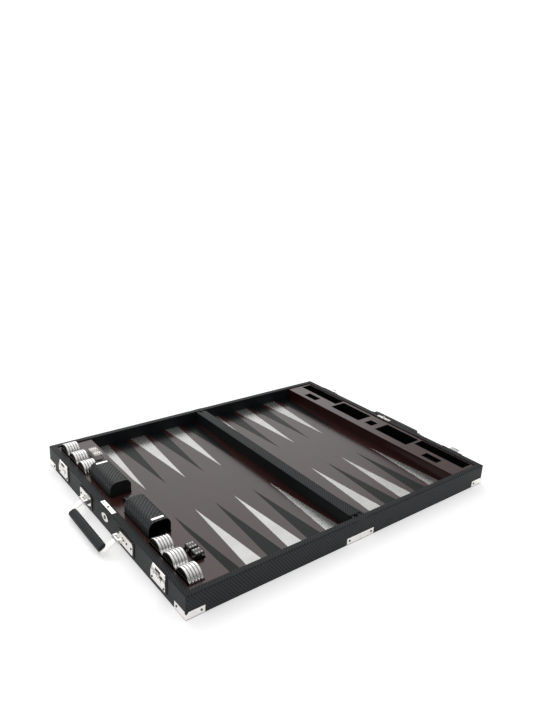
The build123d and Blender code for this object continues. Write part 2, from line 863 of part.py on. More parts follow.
# ------------------------------------------------------------------- assembly
def save_half(name, side):
    """Write every node that belongs to one half of the case."""
    screws = half_screws(side)
    guards = guard_blanks()
    pads = hardware_pads()
    rim_plate = strike_plate() if side < 0 else pin_plate()
    w = rim_plate_width / 2
    length = strike_plate_length if side < 0 else pin_plate_length
    x = half_width - rim_plate_setback
    rim_cut = block(x - w, x + w, -length / 2, length / 2, board_top, half_height + 1)
    plug_z = lock_height
    cover_cuts = guards + screws + [rim_cut]
    if side < 0:
        cover_cuts.append(cylinder_x(0, plug_z, plug_radius + 0.4, half_width - leather, half_width))
    boards = cut_all(frame_boards(side), screws)
    field, light, dark = field_pieces(side)
    brackets = far_and_near(handle_bracket())
    angle = left_handle_droop if side < 0 else right_handle_droop
    save(f"{name}_frame", on_side(boards, side))
    save(f"{name}_base_panel", on_side([base_panel()], side))
    save(f"{name}_base_leather", on_side([base_covering()], side))
    save(f"{name}_case_leather", on_side([case_covering(side, cover_cuts)], side))
    save(f"{name}_field_leather", on_side([field], side))
    save(f"{name}_light_points", on_side(light, side))
    save(f"{name}_dark_points", on_side(dark, side))
    save(f"{name}_storage_blocks", on_side(storage_blocks(), side))
    save(f"{name}_pocket_linings", on_side(pocket_linings(), side))
    save(f"{name}_deck_leather", on_side([deck_covering()], side))
    save(f"{name}_corner_guards", on_side(cut_all(guards, screws), side))
    save(f"{name}_screws", on_side(screws, side))
    save(f"{name}_hardware_pads", on_side(cut_all(pads, screws), side))
    save(f"{name}_handle_brackets", on_side(cut_all(brackets, screws), side))
    save(f"{name}_handle_frame", on_side(handle_frame(angle), side))
    save(f"{name}_handle_grip", on_side(handle_grip(angle), side))
    save(f"{name}_hinge_leaves", on_side(far_and_near([hinge_leaf(side)]), side))
    if side < 0:
        plates = latch_plate(latch_y) + latch_plate(-latch_y)
        save("left_latch_plates", on_side(cut_all(plates, screws), side))
        save("far_latch_slide", on_side([latch_slide(latch_y)], side))
        save("near_latch_slide", on_side([latch_slide(-latch_y)], side))
        save("left_strike_plate", on_side(cut_all([rim_plate], screws), side))
        save("lock_escutcheon", on_side([escutcheon()], side))
        save("lock_plug", on_side([lock_plug()], side))
    else:
        bases = hasp_base(latch_y) + hasp_base(-latch_y)
        save("right_hasp_bases", cut_all(bases, screws))
        save("far_hasp", [hasp(latch_y)])
        save("near_hasp", [hasp(-latch_y)])
        save("right_pin_plate", cut_all([rim_plate], screws))


def save_game():
    """Write the loose pieces that lie in the left deck."""
    names = ("inner", "middle", "outer")
    for far, group in ((True, "far"), (False, "near")):
        for index, row in enumerate(names):
            save(f"{group}_{row}_checkers", checker_row(index, far))
        body, base = cup_pieces(far)
        save(f"{group}_cup_body", [body])
        save(f"{group}_cup_base", [base])
    save("white_dice", dice_pair(True))
    save("black_dice", dice_pair(False))
    save("doubling_cube", [doubling_cube()])


save_half("left", -1)
save_half("right", 1)
save("hinge_pins", hinge_pins())
save("hinge_strip", [hinge_strip()])
save_game()
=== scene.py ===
import logging
import math
from dataclasses import dataclass
from enum import Enum
from typing import Callable, Iterable, Optional, Sequence

import bmesh
import bpy
from bmesh.types import BMEdge, BMesh, BMFace, BMVert
from bpy.types import Material, Node, NodeSocket, NodeTree, Object, World
from mathutils import Matrix, Vector


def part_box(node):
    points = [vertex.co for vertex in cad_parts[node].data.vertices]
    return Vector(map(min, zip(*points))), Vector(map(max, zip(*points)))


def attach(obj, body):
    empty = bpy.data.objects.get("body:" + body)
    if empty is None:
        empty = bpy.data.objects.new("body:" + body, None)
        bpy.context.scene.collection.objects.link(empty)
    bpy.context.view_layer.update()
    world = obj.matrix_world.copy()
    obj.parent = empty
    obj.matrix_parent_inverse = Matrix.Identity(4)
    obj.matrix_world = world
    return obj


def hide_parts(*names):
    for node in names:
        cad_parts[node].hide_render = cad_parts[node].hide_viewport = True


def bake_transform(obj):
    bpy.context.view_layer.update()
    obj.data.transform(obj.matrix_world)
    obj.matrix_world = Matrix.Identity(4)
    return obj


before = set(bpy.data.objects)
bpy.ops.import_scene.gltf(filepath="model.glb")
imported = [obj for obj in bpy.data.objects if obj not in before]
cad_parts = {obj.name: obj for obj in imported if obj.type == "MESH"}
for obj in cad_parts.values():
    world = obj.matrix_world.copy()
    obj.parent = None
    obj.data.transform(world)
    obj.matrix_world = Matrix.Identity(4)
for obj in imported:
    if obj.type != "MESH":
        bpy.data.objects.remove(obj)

log = logging.getLogger("backgammon_set")
MM = 0.001
FULL_TURN = 2.0 * math.pi
MERGE_DIST = 1e-6
CUT_DIST = 1e-7
NODE_MERGE_DIST = 2e-6
CLOSE_MM = 0.01
PARALLEL = 0.9


class Side(Enum):
    """Which half of the case a piece belongs to."""

    LEFT = -1
    RIGHT = 1

    @property
    def word(self) -> str:
        """The half's name as the bodies and nodes spell it."""
        return self.name.lower()

    @property
    def body(self) -> str:
        """The body that the half's fixed pieces ride on."""
        return f"{self.word}_case"

    @property
    def droop_deg(self) -> float:
        """How far the half's handle hangs below straight out."""
        return 30.0 if self is Side.LEFT else 13.0


class End(Enum):
    """Which end of the bar a piece lies towards."""

    NEAR = -1
    FAR = 1

    @property
    def word(self) -> str:
        """The end's name as the bodies and nodes spell it."""
        return self.name.lower()


# ------------------------------------------------------------------- materials


def srgb(code: str) -> tuple[float, float, float, float]:
    """Turn an sRGB hex colour to linear.

    Args:
        code: Six hex digits, with or without a leading hash.

    Returns:
        Linear red, green, blue and an alpha of one.
    """
    text = code.lstrip("#")
    parts = [int(text[i : i + 2], 16) / 255.0 for i in (0, 2, 4)]
    red, green, blue = [
        c / 12.92 if c <= 0.04045 else ((c + 0.055) / 1.055) ** 2.4 for c in parts
    ]
    return red, green, blue, 1.0


def add_node(
    tree: NodeTree,
    kind: str,
    settings: Optional[dict] = None,
    links: Optional[dict] = None,
) -> Node:
    """Add one shader node with its settings and links.

    Args:
        tree: The node tree to add to.
        kind: Blender's name of the node type.
        settings: Input sockets by name or number, or node attributes by name.
        links: Output sockets to plug in, by input name or number.

    Returns:
        The new node.
    """
    node = tree.nodes.new(kind)
    given = settings or {}
    attributes = [k for k in given if isinstance(k, str) and k not in node.inputs]
    for key in attributes:
        setattr(node, key, given[key])
    for key, value in given.items():
        if key not in attributes:
            node.inputs[key].default_value = value
    for key, source in (links or {}).items():
        tree.links.new(source, node.inputs[key])
    return node


@dataclass(frozen=True)
class Finish:
    """What every finish shares: a name and a Principled shader."""

    name: str
    colour: str

    def material(self) -> Material:
        """Make the material once and hand out the same one after that.

        Returns:
            The finish as a Blender material.
        """
        known = bpy.data.materials.get(self.name)
        if known:
            return known
        made = bpy.data.materials.new(self.name)
        made.use_nodes = True
        tree = made.node_tree
        self.dress(tree, tree.nodes["Principled BSDF"])
        made.diffuse_color = srgb(self.colour)
        return made

    def dress(self, tree: NodeTree, shader: Node) -> None:
        """Set the shader up; each finish has its own way."""
        shader.inputs["Base Color"].default_value = srgb(self.colour)


def object_place(tree: NodeTree) -> NodeSocket:
    """Object coordinates in metres, which every pattern is laid out on."""
    return add_node(tree, "ShaderNodeTexCoord").outputs["Object"]


def grain_noise(
    tree: NodeTree, place: NodeSocket, size_mm: float, detail: float = 3.0
) -> Node:
    """Add noise whose blotches are about size_mm across.

    Args:
        tree: The node tree to add to.
        place: Object coordinates in metres.
        size_mm: Size of one blotch in millimetres.
        detail: Number of finer octaves.

    Returns:
        The noise node.
    """
    settings = {"Scale": 1.0 / (size_mm * MM), "Detail": detail, "Roughness": 0.55}
    return add_node(tree, "ShaderNodeTexNoise", settings, {"Vector": place})


def tinted(
    tree: NodeTree,
    factor: NodeSocket,
    low: str,
    high: str,
    start: float = 0.35,
    end: float = 0.65,
) -> NodeSocket:
    """Turn a factor into a colour between two hex colours.

    Args:
        tree: The node tree to add to.
        factor: Value that picks the colour.
        low: Colour at start.
        high: Colour at end.
        start: Factor that gives the low colour.
        end: Factor that gives the high colour.

    Returns:
        The ramp's colour output.
    """
    ramp = add_node(tree, "ShaderNodeValToRGB", None, {"Fac": factor})
    for stop, place, code in zip(ramp.color_ramp.elements, (start, end), (low, high)):
        stop.position = place
        stop.color = srgb(code)
    return ramp.outputs["Color"]


def plus_share(
    tree: NodeTree,
    part: NodeSocket,
    share: float,
    whole: NodeSocket,
) -> NodeSocket:
    """Add a share of one value to another.

    Args:
        tree: The node tree to add to.
        part: Value that is scaled.
        share: What it is scaled by.
        whole: Value that it is added to.

    Returns:
        The sum.
    """
    links = {0: part, 2: whole}
    settings = {"operation": "MULTIPLY_ADD", 1: share}
    return add_node(tree, "ShaderNodeMath", settings, links).outputs[0]


def spread_between(
    tree: NodeTree,
    value: NodeSocket,
    given: tuple[float, float],
    wanted: tuple[float, float],
) -> NodeSocket:
    """Map a value from one range to another.

    Args:
        tree: The node tree to add to.
        value: Value to map.
        given: Lowest and highest value that comes in.
        wanted: What these two become.

    Returns:
        The mapped value.
    """
    names = ("From Min", "From Max", "To Min", "To Max")
    settings = dict(zip(names, (*given, *wanted)))
    return add_node(tree, "ShaderNodeMapRange", settings, {"Value": value}).outputs["Result"]


def emboss(
    tree: NodeTree,
    shader: Node,
    height: NodeSocket,
    strength: float,
    depth_mm: float,
) -> None:
    """Bump the shader's normal by a height.

    Args:
        tree: The node tree to add to.
        shader: Shader that gets the bump.
        height: Height from 0 to about 1.
        strength: Share of the bump that shows.
        depth_mm: How deep a height of 1 is, in millimetres.
    """
    settings = {"Strength": strength, "Distance": depth_mm * MM}
    bump = add_node(tree, "ShaderNodeBump", settings, {"Height": height})
    tree.links.new(bump.outputs["Normal"], shader.inputs["Normal"])


def ribs(
    tree: NodeTree,
    place: NodeSocket,
    across: tuple[float, float, float],
    spacing_mm: float,
) -> NodeSocket:
    """Add a wave of straight ribs, from 0 in the grooves to 1 on the crests.

    Args:
        tree: The node tree to add to.
        place: Object coordinates in metres.
        across: Direction in which the ribs follow one another.
        spacing_mm: Distance from crest to crest along that direction.

    Returns:
        The wave.
    """
    unit = Vector(across).normalized() * (FULL_TURN / (spacing_mm * MM))
    settings = {"operation": "DOT_PRODUCT", 1: tuple(unit)}
    along = add_node(tree, "ShaderNodeVectorMath", settings, {0: place})
    wave = add_node(tree, "ShaderNodeMath", {"operation": "SINE"}, {0: along.outputs["Value"]})
    settings = {"operation": "MULTIPLY_ADD", 1: 0.5, 2: 0.5}
    return add_node(tree, "ShaderNodeMath", settings, {0: wave.outputs[0]}).outputs[0]


@dataclass(frozen=True)
class TwillLeather(Finish):
    """Split leather embossed with diagonal twill ribs, as on attache cases.

    The crests are slightly polished and the grooves are painted darker as shade,
    so the surface reads as fine slanted lines over a soft charcoal sheen.
    """

    # Painted shade: the colour of the rib grooves.
    groove_shade: str = "0E0F10"
    rib_mm: float = 2.6
    weave_mm: float = 1.3
    depth_mm: float = 0.12
    roughness: float = 0.46
    gloss: float = 0.3
    across: tuple[float, float, float] = (1.0, 1.0, 1.0)
    cross: tuple[float, float, float] = (1.0, -1.0, 0.6)
    worn: str = "2B2E30"
    drift_mm: float = 45.0
    pore_mm: float = 0.5
    weave_share: float = 0.25
    pore_share: float = 0.35

    def dress(self, tree: NodeTree, shader: Node) -> None:
        """Ribs with painted shade in their grooves, a finer weave across them and slow colour
        drift.
        """
        place = object_place(tree)
        rib = ribs(tree, place, self.across, self.rib_mm)
        weave = ribs(tree, place, self.cross, self.weave_mm)
        drift = grain_noise(tree, place, self.drift_mm, 2.0).outputs["Fac"]
        pore = grain_noise(tree, place, self.pore_mm).outputs["Fac"]
        height = plus_share(tree, weave, self.weave_share, rib)
        height = plus_share(tree, pore, self.pore_share, height)
        # Painted shade: the rib grooves are coloured darker than the crests.
        base = tinted(tree, rib, self.groove_shade, self.colour, 0.05, 0.7)
        lift = spread_between(tree, drift, (0.35, 0.75), (0.0, 0.35))
        settings = {"data_type": "RGBA", 7: srgb(self.worn)}
        mixed = add_node(tree, "ShaderNodeMix", settings, {0: lift, 6: base})
        tree.links.new(mixed.outputs[2], shader.inputs["Base Color"])
        dull, polished = self.roughness + 0.14, self.roughness - 0.04
        rough = spread_between(tree, rib, (0.0, 1.0), (dull, polished))
        tree.links.new(rough, shader.inputs["Roughness"])
        emboss(tree, shader, height, 0.6, self.depth_mm)
        shader.inputs["Specular IOR Level"].default_value = self.gloss


@dataclass(frozen=True)
class FieldLeather(Finish):
    """Smooth calf leather with a faint pressed line pattern and a semi-gloss top coat.

    It shows as an even satin field whose reflections blur along the lines.
    """

    shade: str = "251716"
    line_mm: float = 2.0
    depth_mm: float = 0.02
    roughness: float = 0.27
    gloss: float = 0.5
    pore_share: float = 0.3
    metallic: float = 0.0
    across: tuple[float, float, float] = (0.0, 1.0, 0.35)
    blotch_mm: float = 60.0
    pore_mm: float = 0.7
    line_share: float = 0.3

    def dress(self, tree: NodeTree, shader: Node) -> None:
        """Pressed lines, pores and a slow change of tone."""
        place = object_place(tree)
        line = ribs(tree, place, self.across, self.line_mm)
        pore = grain_noise(tree, place, self.pore_mm, 4.0).outputs["Fac"]
        drift = grain_noise(tree, place, self.blotch_mm, 2.0).outputs["Fac"]
        tone = plus_share(tree, line, self.line_share, drift)
        base = tinted(tree, tone, self.shade, self.colour, 0.3, 0.9)
        tree.links.new(base, shader.inputs["Base Color"])
        emboss(tree, shader, plus_share(tree, pore, self.pore_share, line), 0.5, self.depth_mm)
        polished, dull = self.roughness - 0.05, self.roughness + 0.08
        rough = spread_between(tree, pore, (0.3, 0.7), (polished, dull))
        tree.links.new(rough, shader.inputs["Roughness"])
        shader.inputs["Metallic"].default_value = self.metallic
        shader.inputs["Specular IOR Level"].default_value = self.gloss


@dataclass(frozen=True)
class Flock(Finish):
    """Short black flock glued inside the pockets; it swallows nearly all light."""

    hollow: str = "030303"
    fibre_mm: float = 0.8
    depth_mm: float = 0.2

    def dress(self, tree: NodeTree, shader: Node) -> None:
        """Fibre clumps in colour and bump, with a little sheen."""
        clump = grain_noise(tree, object_place(tree), self.fibre_mm, 4.0).outputs["Fac"]
        base = tinted(tree, clump, self.hollow, self.colour)
        tree.links.new(base, shader.inputs["Base Color"])
        emboss(tree, shader, clump, 0.7, self.depth_mm)
        shader.inputs["Roughness"].default_value = 0.95
        shader.inputs["Specular IOR Level"].default_value = 0.1


@dataclass(frozen=True)
class PlatedMetal(Finish):
    """Polished metal plate: mirror-like, with faint buffing lines and handling haze."""

    haze: str = "B9B5AE"
    roughness: float = 0.16
    buff_mm: float = 0.5
    buff_stretch: float = 0.08
    haze_mm: float = 9.0
    depth_mm: float = 0.01

    def dress(self, tree: NodeTree, shader: Node) -> None:
        """Buffing lines stretched one way, haze and a light bump."""
        place = object_place(tree)
        settings = {"Scale": (1.0, self.buff_stretch, 1.0)}
        stretched = add_node(tree, "ShaderNodeMapping", settings, {"Vector": place})
        buff = grain_noise(tree, stretched.outputs["Vector"], self.buff_mm, 2.0).outputs["Fac"]
        haze = grain_noise(tree, place, self.haze_mm, 4.0).outputs["Fac"]
        base = tinted(tree, haze, self.haze, self.colour, 0.25, 0.6)
        tree.links.new(base, shader.inputs["Base Color"])
        blend = plus_share(tree, buff, 0.5, haze)
        polished, dull = self.roughness - 0.03, self.roughness + 0.06
        rough = spread_between(tree, blend, (0.4, 1.1), (polished, dull))
        tree.links.new(rough, shader.inputs["Roughness"])
        emboss(tree, shader, buff, 0.1, self.depth_mm)
        shader.inputs["Metallic"].default_value = 1.0


@dataclass(frozen=True)
class MouldedPlastic(Finish):
    """Cast or moulded plastic with a tumbled polish and faint cloudiness."""

    cloud: str = "FFFFFF"
    roughness: float = 0.18
    coat: float = 0.0
    cloud_mm: float = 6.0
    peel_mm: float = 1.2
    depth_mm: float = 0.05

    def dress(self, tree: NodeTree, shader: Node) -> None:
        """Cloudy colour, uneven polish and a trace of orange peel."""
        place = object_place(tree)
        cloud = grain_noise(tree, place, self.cloud_mm).outputs["Fac"]
        peel = grain_noise(tree, place, self.peel_mm, 2.0).outputs["Fac"]
        base = tinted(tree, cloud, self.cloud, self.colour)
        tree.links.new(base, shader.inputs["Base Color"])
        rough = spread_between(tree, peel, (0.3, 0.7), (self.roughness, self.roughness + 0.1))
        tree.links.new(rough, shader.inputs["Roughness"])
        emboss(tree, shader, peel, 0.15, self.depth_mm)
        shader.inputs["Coat Weight"].default_value = self.coat


@dataclass(frozen=True)
class SawnWood(Finish):
    """Poplar as sawn for case boards: pale, with long grain streaks."""

    late: str = "8A6B45"
    grain_mm: float = 3.0
    grain_stretch: float = 0.06
    depth_mm: float = 0.1

    def dress(self, tree: NodeTree, shader: Node) -> None:
        """Grain streaks along the boards."""
        settings = {"Scale": (1.0, self.grain_stretch, 1.0)}
        links = {"Vector": object_place(tree)}
        stretched = add_node(tree, "ShaderNodeMapping", settings, links).outputs["Vector"]
        streak = grain_noise(tree, stretched, self.grain_mm, 5.0).outputs["Fac"]
        base = tinted(tree, streak, self.late, self.colour)
        tree.links.new(base, shader.inputs["Base Color"])
        emboss(tree, shader, streak, 0.4, self.depth_mm)
        shader.inputs["Roughness"].default_value = 0.7


@dataclass(frozen=True)
class StudioFloor(Finish):
    """Pale seamless paper, lit a little from behind as on a light table."""

    glow: float = 0.5
    tooth_mm: float = 2.0
    depth_mm: float = 0.05

    def dress(self, tree: NodeTree, shader: Node) -> None:
        """Flat and matt, with a trace of paper tooth."""
        tooth = grain_noise(tree, object_place(tree), self.tooth_mm, 2.0).outputs["Fac"]
        emboss(tree, shader, tooth, 0.05, self.depth_mm)
        shader.inputs["Base Color"].default_value = srgb(self.colour)
        shader.inputs["Roughness"].default_value = 0.9
        shader.inputs["Emission Color"].default_value = srgb(self.colour)
        shader.inputs["Emission Strength"].default_value = self.glow


CASE_LEATHER = TwillLeather(
    "twill_case_leather",
    "222528",
    rib_mm=3.4,
    depth_mm=0.28,
    gloss=0.2,
    across=(1.0, -1.0, 0.8),
)
# Near-black pads under the fittings stand in for the shadows the fittings cast on the case: painted
# shadow.
PAD_SHADOW_LEATHER = TwillLeather(
    "black_pad_painted_shadow", "0F1011", groove_shade="070808", worn="161718", rib_mm=2.0
)
CUP_LEATHER = TwillLeather(
    "ribbed_cup_leather",
    "2B2E30",
    groove_shade="060607",
    rib_mm=5.2,
    weave_mm=6.0,
    depth_mm=0.7,
    gloss=0.35,
    across=(1.0, -1.0, 0.6),
    cross=(1.0, 1.0, 0.3),
)
GRIP_LEATHER = TwillLeather(
    "ribbed_grip_leather",
    "2E3133",
    groove_shade="040405",
    worn="383B3D",
    rib_mm=4.3,
    depth_mm=0.5,
    across=(0.0, 1.0, 0.1),
)
FIELD_LEATHER = FieldLeather("oxblood_field_leather", "361A18", shade="2B1412", roughness=0.2)
DECK_LEATHER = FieldLeather(
    "oxblood_deck_leather", "3E1F1A", shade="301713", roughness=0.2, across=(1.0, 1.0, 0.0)
)
SILVER_LEATHER = FieldLeather(
    "silver_point_leather",
    "BDBDBC",
    shade="ABAAA9",
    line_mm=2.2,
    depth_mm=0.14,
    roughness=0.2,
    pore_share=0.02,
    metallic=0.75,
    across=(1.0, 0.0, 0.0),
    blotch_mm=40.0,
)
SLATE_LEATHER = FieldLeather(
    "slate_point_leather", "15181A", shade="101213", roughness=0.26, gloss=0.12
)
POCKET_FLOCK = Flock("black_flock", "080808")
NICKEL = PlatedMetal("bright_nickel_plate", "F5F3F0", haze="E6E4E0")
SCREW_STEEL = PlatedMetal("dark_screw_steel", "6F6D6A", haze="4D4B49", roughness=0.25)
CHECKER_RIM = PlatedMetal("polished_aluminium_rim", "F7F6F4", haze="E6E5E2")
BLACK_LACQUER = MouldedPlastic("black_lacquer", "080809", cloud="0E0E10", roughness=0.12, coat=0.4)
IVORY_PLASTIC = MouldedPlastic(
    "ivory_white_resin", "EDEAE4", cloud="F6F4F0", roughness=0.16, coat=0.3
)
CUBE_RESIN = MouldedPlastic(
    "violet_black_resin", "16131A", cloud="1D1822", roughness=0.15, coat=0.3
)
PIP_BLACK = MouldedPlastic("black_pip_paint", "060606", cloud="0B0B0B", roughness=0.4)
PIP_WHITE = MouldedPlastic("white_pip_paint", "FAFAF8", cloud="EEEEEC", roughness=0.35)
CAP_RUBBER = MouldedPlastic("black_cap_leatherboard", "0B0C0D", cloud="111213", roughness=0.5)
BLACK_STEEL = PlatedMetal("blackened_steel", "2A2A2B", haze="1A1A1B", roughness=0.4)
BOARD_WOOD = SawnWood("poplar_board", "B89A6C")
PAPER = StudioFloor("pale_studio_paper", "F4F4F4")


# ---------------------------------------------------------------- mesh helpers


def box_into(
    bm: BMesh, low: Sequence[float], high: Sequence[float]
) -> list[BMVert]:
    """Add a box given by two corners.

    Args:
        bm: Mesh to add to.
        low: Lowest corner in metres.
        high: Highest corner in metres.

    Returns:
        The box's vertices.
    """
    lo, hi = Vector(low), Vector(high)
    size = hi - lo
    matrix = Matrix.Translation((lo + hi) / 2) @ Matrix.Diagonal((*size, 1.0))
    return bmesh.ops.create_cube(bm, size=1.0, matrix=matrix)["verts"]


def slice_at(bm: BMesh, axis: int, values: Iterable[float]) -> None:
    """Cut the whole mesh across one axis at several places.

    Args:
        bm: Mesh to cut.
        axis: 0, 1 or 2 for X, Y or Z.
        values: Where to cut, in metres.
    """
    normal = Vector((0.0, 0.0, 0.0))
    normal[axis] = 1.0
    for value in values:
        geometry = bm.verts[:] + bm.edges[:] + bm.faces[:]
        bmesh.ops.bisect_plane(
            bm, geom=geometry, plane_co=normal * value, plane_no=normal, dist=CUT_DIST
        )


def sink(
    bm: BMesh, pick: Callable[[BMFace], bool], shift: Sequence[float]
) -> None:
    """Push the picked faces in or out, with walls behind them.

    Args:
        bm: Mesh to change.
        pick: Says whether a face is pushed.
        shift: How far, in metres.
    """
    faces = [f for f in bm.faces if pick(f)]
    made = bmesh.ops.extrude_face_region(bm, geom=faces)["geom"]
    bmesh.ops.delete(bm, geom=faces, context="FACES_ONLY")
    moved = [v for v in made if isinstance(v, BMVert)]
    bmesh.ops.translate(bm, verts=moved, vec=Vector(shift))


def round_edges(
    bm: BMesh, edges: Iterable[BMEdge], width: float, segments: int
) -> None:
    """Bevel edges to a round.

    Args:
        bm: Mesh to change.
        edges: Edges to round.
        width: Width of the bevel in metres.
        segments: Number of strips across it.
    """
    chosen = list(edges)
    if chosen:
        bmesh.ops.bevel(
            bm,
            geom=chosen,
            offset=width,
            offset_type="OFFSET",
            affect="EDGES",
            segments=segments,
            profile=0.5,
            material=-1,
            clamp_overlap=True,
        )


def sharp_edges(bm: BMesh, angle: float = 40.0) -> list[BMEdge]:
    """Edges whose two faces meet at more than an angle in degrees."""
    limit = math.radians(angle)
    return [e for e in bm.edges if len(e.link_faces) == 2 and e.calc_face_angle(0.0) > limit]


def publish(
    bm: BMesh,
    name: str,
    finishes: Sequence[Finish],
    body: Optional[str],
    replaced: Sequence[str] = (),
    smooth: float = 35.0,
) -> Object:
    """Turn a mesh into a finished piece of the object.

    Args:
        bm: The mesh; it is freed.
        name: Name of the piece.
        finishes: One finish for each material index.
        body: Body that the piece rides on, or None to leave it on no body.
        replaced: CAD nodes that the piece stands for.
        smooth: Edges that turn by more than this many degrees stay sharp.

    Returns:
        The piece.
    """
    mesh = bpy.data.meshes.new(name)
    bm.to_mesh(mesh)
    bm.free()
    for polygon in mesh.polygons:
        polygon.use_smooth = True
    mesh.set_sharp_from_angle(angle=math.radians(smooth))
    for finish in finishes:
        mesh.materials.append(finish.material())
    piece = bpy.data.objects.new(name, mesh)
    bpy.context.scene.collection.objects.link(piece)
    if body:
        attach(piece, body)
        even = piece.modifiers.new("even_shading", "WEIGHTED_NORMAL")
        even.keep_sharp = True
    if replaced:
        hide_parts(*replaced)
    log.info("%s: %d faces", name, len(mesh.polygons))
    return piece


def node_copy(node: str) -> BMesh:
    """Copy a CAD node's mesh with its loose triangles merged into faces.

    Args:
        node: Name of the node.

    Returns:
        The merged mesh.
    """
    bm = bmesh.new()
    bm.from_mesh(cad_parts[node].data)
    bmesh.ops.remove_doubles(bm, verts=bm.verts, dist=NODE_MERGE_DIST)
    flat = math.radians(0.5)
    bmesh.ops.dissolve_limit(bm, angle_limit=flat, verts=bm.verts, edges=bm.edges)
    return bm


@dataclass
class SoftenedPart:
    """A CAD part carried over with its sharp edges rounded.

    Args:
        node: CAD node that is copied and replaced.
        body: Body that it rides on.
        finish: Finish all over.
        width_mm: Width of the rounding.
        segments: Strips across the rounding.
        lift_mm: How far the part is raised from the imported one.
    """

    node: str
    body: str
    finish: Finish
    width_mm: float = 0.3
    segments: int = 2
    lift_mm: float = 0.0

    def build(self) -> Object:
        """Copy, round and publish the part."""
        bm = node_copy(self.node)
        bmesh.ops.translate(bm, verts=bm.verts, vec=(0.0, 0.0, self.lift_mm * MM))
        round_edges(bm, sharp_edges(bm), self.width_mm * MM, self.segments)
        return publish(bm, f"{self.node}_soft", [self.finish], self.body, [self.node])


def dress_node(node: str, finish: Finish) -> None:
    """Give a CAD node that keeps its shape a better material.

    Args:
        node: Name of the node.
        finish: Its finish.
    """
    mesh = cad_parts[node].data
    mesh.materials.clear()
    mesh.materials.append(finish.material())
    log.info("%s: dressed in %s", node, finish.name)


# ------------------------------------------------------------------- the case


@dataclass
class CaseShell:
    """The leather-covered tray of one half, with rounded rims.

    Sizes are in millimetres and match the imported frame.
    """

    side: Side
    half_width: float = 346.5
    half_length: float = 266.5
    height: float = 40.5
    bottom: float = 1.2
    floor: float = 14.0
    spine: float = 0.15
    bar: float = 11.5
    long_wall: float = 13.0
    end_wall: float = 12.0
    strip_end: float = 247.8
    strip_depth: float = 1.0
    notch_floor: float = 38.3
    rim_round: float = 1.3
    corner_round: float = 2.2
    deck_round: float = 0.45

    def build(self) -> None:
        """Build the covering and dress the hidden boards."""
        self.covering()
        for node, finish in (
            ("frame", BOARD_WOOD),
            ("base_panel", BOARD_WOOD),
            ("storage_blocks", BOARD_WOOD),
            ("base_leather", CASE_LEATHER),
            ("field_leather", FIELD_LEATHER),
            ("light_points", SILVER_LEATHER),
            ("dark_points", SLATE_LEATHER),
            ("pocket_linings", POCKET_FLOCK),
        ):
            dress_node(f"{self.side.word}_{node}", finish)
        deck = f"{self.side.word}_deck_leather"
        SoftenedPart(deck, self.side.body, DECK_LEATHER, self.deck_round, 3).build()

    def covering(self) -> Object:
        """Shape the leather tray from one box by slicing and sinking."""
        s = self.side.value
        inner_x = self.half_width - self.long_wall
        inner_y = self.half_length - self.end_wall
        xs = sorted((s * self.spine, s * self.half_width))
        bm = bmesh.new()
        box_into(
            bm,
            (xs[0] * MM, -self.half_length * MM, self.bottom * MM),
            (xs[1] * MM, self.half_length * MM, self.height * MM),
        )
        slice_at(bm, 0, (s * self.bar * MM, s * inner_x * MM))
        slice_at(bm, 1, [v * MM for v in (-inner_y, -self.strip_end, self.strip_end, inner_y)])
        top = self.height * MM

        def on_top(face: BMFace) -> bool:
            """Whether a face lies in the rim plane."""
            return face.normal.z > PARALLEL and abs(face.calc_center_median().z - top) < 1e-5

        def in_tray(face: BMFace) -> bool:
            """Whether a face covers the tray's mouth."""
            c = face.calc_center_median() / MM
            return on_top(face) and self.bar < s * c.x < inner_x and abs(c.y) < inner_y

        def on_bar(face: BMFace) -> bool:
            """Whether a face lies under the hinge strip."""
            c = face.calc_center_median() / MM
            return on_top(face) and s * c.x < self.bar and abs(c.y) < self.strip_end

        def in_notch(face: BMFace) -> bool:
            """Whether a face lies over an end hinge."""
            c = face.calc_center_median() / MM
            return on_top(face) and s * c.x < self.bar and self.strip_end < abs(c.y) < inner_y

        for pick, depth in (
            (in_tray, self.height - self.floor),
            (on_bar, self.strip_depth),
            (in_notch, self.height - self.notch_floor),
        ):
            bm.normal_update()
            sink(bm, pick, (0, 0, -depth * MM))
        bmesh.ops.remove_doubles(bm, verts=bm.verts, dist=MERGE_DIST)
        bmesh.ops.recalc_face_normals(bm, faces=bm.faces)
        limit = math.radians(60)

        def is_rim(edge: BMEdge) -> bool:
            """Whether an edge runs round the outside or inside of the rim."""
            if len(edge.link_faces) != 2 or edge.calc_face_angle(0.0) < limit:
                return False
            a, b = (v.co / MM for v in edge.verts)
            high = all(abs(p.z - self.height) < CLOSE_MM for p in (a, b))
            spine = all(s * p.x < self.bar + CLOSE_MM for p in (a, b))
            return high and not spine

        def is_corner(edge: BMEdge) -> bool:
            """Whether an edge stands upright at an outer corner."""
            a, b = (v.co / MM for v in edge.verts)
            upright = abs(a.x - b.x) < CLOSE_MM and abs(a.y - b.y) < CLOSE_MM
            outer = s * a.x > self.half_width - 0.1 and abs(a.y) > self.half_length - 0.1
            return upright and outer

        round_edges(bm, filter(is_corner, bm.edges), self.corner_round * MM, 4)
        round_edges(bm, filter(is_rim, bm.edges), self.rim_round * MM, 3)
        name = f"{self.side.word}_case_covering"
        return publish(bm, name, [CASE_LEATHER], self.side.body, [f"{self.side.word}_case_leather"])


